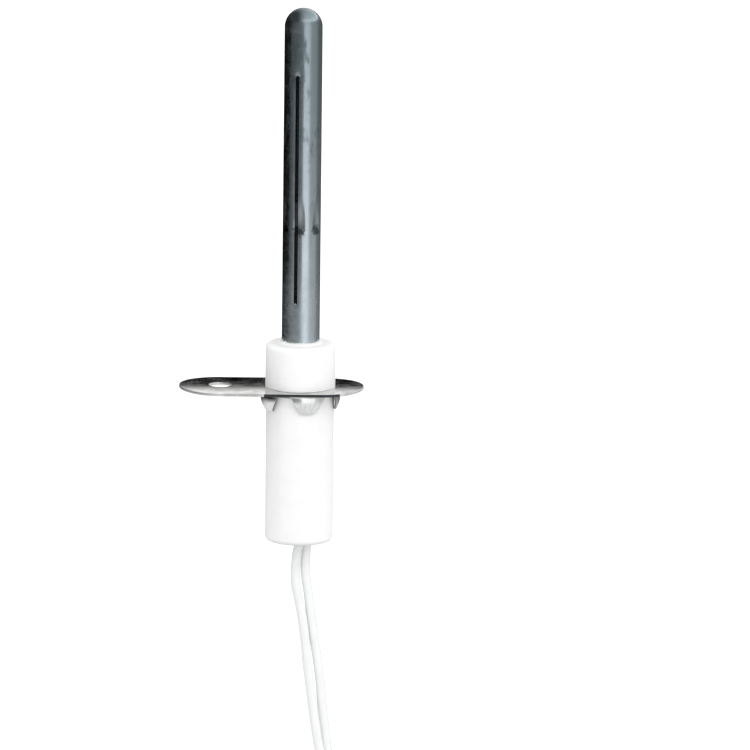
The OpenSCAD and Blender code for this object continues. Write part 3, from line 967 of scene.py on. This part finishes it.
def make_crown(material, edge_material):
    """The crown, with its sheared edges darker than its rolled faces, partly for the cut edges' duller tone
    and partly as painted shade.
    """
    columns = FINGERS * 56
    ring = crown_ring()
    points = []
    rows = RING_STEPS + 1 + FINGER_STEPS
    for k in range(columns):
        angle = TURN * k / columns
        reach = crown_reach(angle)
        lengths = [ring * j / RING_STEPS for j in range(RING_STEPS + 1)]
        lengths += [ring + (reach - ring) * j / FINGER_STEPS for j in range(1, FINGER_STEPS + 1)]
        for t in lengths:
            r, z = crown_path(t)
            points.append(at(angle, r, z))
    faces = hoop_faces(columns, rows, closed=False)
    crown = mesh_piece("retainer_crown", points, faces, material, ["retainer_ring"])
    crown.data.materials.append(edge_material)
    wall = crown.modifiers.new("sheet", "SOLIDIFY")
    wall.thickness = SHEET
    wall.offset = -1
    # rim faces take the darker edge steel: partly the cut edges' duller tone, partly painted shade
    wall.material_offset_rim = 1
    rounding = crown.modifiers.new("rounding", "BEVEL")
    rounding.width = 0.07 * MM
    rounding.segments = 2
    rounding.limit_method = "ANGLE"
    rounding.angle_limit = math.radians(50)
    settle(crown)
    weigh_normals(crown)
    return crown


# ---------------------------------------------------------------- floor, light and world


WHITE = rgb(1, 1, 1)


def make_floor():
    """A pale floor just under the hank, which neither lights the object nor shows in its metal."""
    bpy.ops.mesh.primitive_plane_add(size=30, location=(0, 0, CAD_LOW.z - 2 * MM))
    floor = bpy.context.object
    floor.name = "floor"
    constants = {"Roughness": 0.9, "Specular IOR Level": 0.0, "Emission Color": WHITE}
    constants["Emission Strength"] = 0.28
    material, tree, shader = principled("floor", constants)
    shade = grain(tree, millimetres(tree), 0.01, 2.0)
    colour = blend(tree, shade, rgb(0.9, 0.9, 0.9), rgb(0.94, 0.94, 0.94))
    tree.links.new(colour, shader.inputs["Base Color"])
    floor.data.materials.append(material)
    floor.visible_glossy = False
    floor.visible_diffuse = False


def make_light(name, azimuth, elevation, distance, size, power):
    """A soft square light aimed at the object, at an angle from the front towards +X."""
    data = bpy.data.lights.new(name, "AREA")
    data.size = size
    data.energy = power
    lamp = bpy.data.objects.new(name, data)
    bpy.context.collection.objects.link(lamp)
    way = at(math.radians(azimuth), math.cos(math.radians(elevation)), math.sin(math.radians(elevation)))
    lamp.location = way * distance
    lamp.rotation_mode = "QUATERNION"
    lamp.rotation_quaternion = way.to_track_quat("Z", "Y")
    lamp.visible_glossy = False
    lamp.visible_camera = False
    return lamp


# What bright metal reflects. Round the horizon: brightness at an angle from the front towards +X.
WALLS = [
    (-180, 0.0), (-88, 0.0), (-76, 0.1), (-57, 0.16), (-31, 0.23), (0, 0.32), (9, 1.15), (36, 1.15),
    (50, 0.58), (90, 0.48), (106, 0.24), (150, 0.16), (180, 0.0),
]
# Overhead: brightness at a height above the horizon, which comes lower at the back
OVERHEAD = [(0.44, 0.0), (0.49, 1.5), (0.56, 1.3), (0.75, 0.8), (1.0, 0.7)]
OVERHEAD_TILT = 0.22
# Where the walls give way to the overhead light, and to the table below, as heights on a unit sphere
OVERHEAD_EDGE = (0.415, 0.45)
TABLE_EDGE = (-0.22, -0.45)
TABLE_LIGHT = 0.8
# Brightness of the overhead light from left to right, and of the even light from straight below upwards
OVERHEAD_ACROSS = (-0.5, 0.3, 0.12, 2.3)
EVEN_LIGHT = (-1.0, -0.5, 0.2, 1.06)


def level_ramp(tree, value, stops):
    """A grey ramp. Levels are halved, because a ramp's colours stop at 1, and doubled again as light."""
    ramp = add(tree, "ShaderNodeValToRGB", [("Fac", value)])
    elements = ramp.color_ramp.elements
    while len(elements) < len(stops):
        elements.new(1.0)
    for element, (position, level) in zip(elements, stops):
        element.position = position
        element.color = rgb(level / 2, level / 2, level / 2)
    return ramp.outputs["Color"]


def glow(tree, colour, strength):
    return add(tree, "ShaderNodeBackground", [("Color", colour), ("Strength", strength)]).outputs[0]


def either(tree, factor, first, second):
    return add(tree, "ShaderNodeMixShader", [(0, factor), (1, first), (2, second)]).outputs[0]


def make_world():
    """Even white light, and for reflections a studio: a bright strip to the right and dark far sides."""
    world = bpy.data.worlds.new("studio")
    world.use_nodes = True
    bpy.context.scene.world = world
    tree = world.node_tree
    tree.nodes.clear()
    way = add(tree, "ShaderNodeTexCoord").outputs["Generated"]
    parts = add(tree, "ShaderNodeSeparateXYZ", [("Vector", way)]).outputs
    ahead = maths(tree, "MULTIPLY", parts["Y"], -1.0)
    azimuth = maths(tree, "ARCTAN2", parts["X"], ahead)
    share = maths(tree, "ADD", maths(tree, "MULTIPLY", azimuth, 1 / TURN), 0.5)
    around = level_ramp(tree, share, [(angle / 360 + 0.5, level) for angle, level in WALLS])
    walls = glow(tree, around, 2.0)
    below = remap(tree, parts["Z"], *TABLE_EDGE, 0.0, 1.0)
    lower = either(tree, below, walls, glow(tree, WHITE, TABLE_LIGHT))
    height = maths(tree, "ADD", maths(tree, "MULTIPLY", parts["Y"], OVERHEAD_TILT), parts["Z"])
    above = glow(tree, level_ramp(tree, height, OVERHEAD), remap(tree, parts["X"], *OVERHEAD_ACROSS))
    studio = either(tree, remap(tree, height, *OVERHEAD_EDGE, 0.0, 1.0), lower, above)
    even = glow(tree, WHITE, remap(tree, parts["Z"], *EVEN_LIGHT))
    rays = add(tree, "ShaderNodeLightPath").outputs
    output = add(tree, "ShaderNodeOutputWorld")
    tree.links.new(either(tree, rays["Is Glossy Ray"], even, studio), output.inputs["Surface"])


# ---------------------------------------------------------------- assembly

make_camera()

wire_cover = insulation()
wire_metal = strands()
nylon = tie_plastic()
strands_left = make_strands("strands_left", -1, wire_metal, "stripped_end_left")
strands_right = make_strands("strands_right", 1, wire_metal, "stripped_end_right")
cable_tie = make_tie(nylon)
wire_left = make_lead("wire_left", -1, ROUTE_LEFT, wire_cover, ["lead_left", "lead_left_hank"])
wire_right = make_lead("wire_right", 1, ROUTE_RIGHT, wire_cover, ["lead_right", "lead_right_hank"])

paste = cement()
make_shield(shield_steel())
make_body(steatite())
make_shield_bead(paste)
make_potting(paste)
# painted shade: near-black steel for the plate's edge faces beside the collar
painted_shade_steel = sheet_steel("painted_shade_edge", (0.07, 0.075, 0.08), 0.35, (1, 1, 0.12), 0.01 * MM)
# the plate's edge faces away from the collar are a lighter copy of its steel, a painted highlight
make_flange(sheet_steel("plate_steel", (0.76, 0.76, 0.75), 0.04, (0.06, 1, 1), 0.002 * MM),
            sheet_steel("plate_edge_highlight", (0.96, 0.96, 0.95), 0.55, (1, 1, 0.2), 0.006 * MM), painted_shade_steel)
# the crown's sheared edges are darker partly for their duller cut finish and partly as painted shade
make_crown(sheet_steel("spring_steel", (0.92, 0.925, 0.93), 0.12, (1, 1, 0.12), 0.003 * MM),
           sheet_steel("sheared_edge_and_shade", (0.3, 0.31, 0.32), 0.35, (1, 1, 0.12), 0.01 * MM))

plated = nickel()
INNER = {
    "heating_element": silicon_carbide(),
    "element_spacer": spacer_ceramic(),
    "terminal_left": plated,
    "terminal_right": plated,
    "crimp_left": plated,
    "crimp_right": plated,
    "conductor_left": wire_metal,
    "conductor_right": wire_metal,
    "core_cement": paste,
}
for name, material in INNER.items():
    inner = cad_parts[name]
    inner.data.materials.clear()
    inner.data.materials.append(material)

make_floor()
make_light("key", azimuth=28, elevation=38, distance=1.6, size=0.9, power=5)
make_world()
bpy.context.scene.view_settings.view_transform = "Standard"
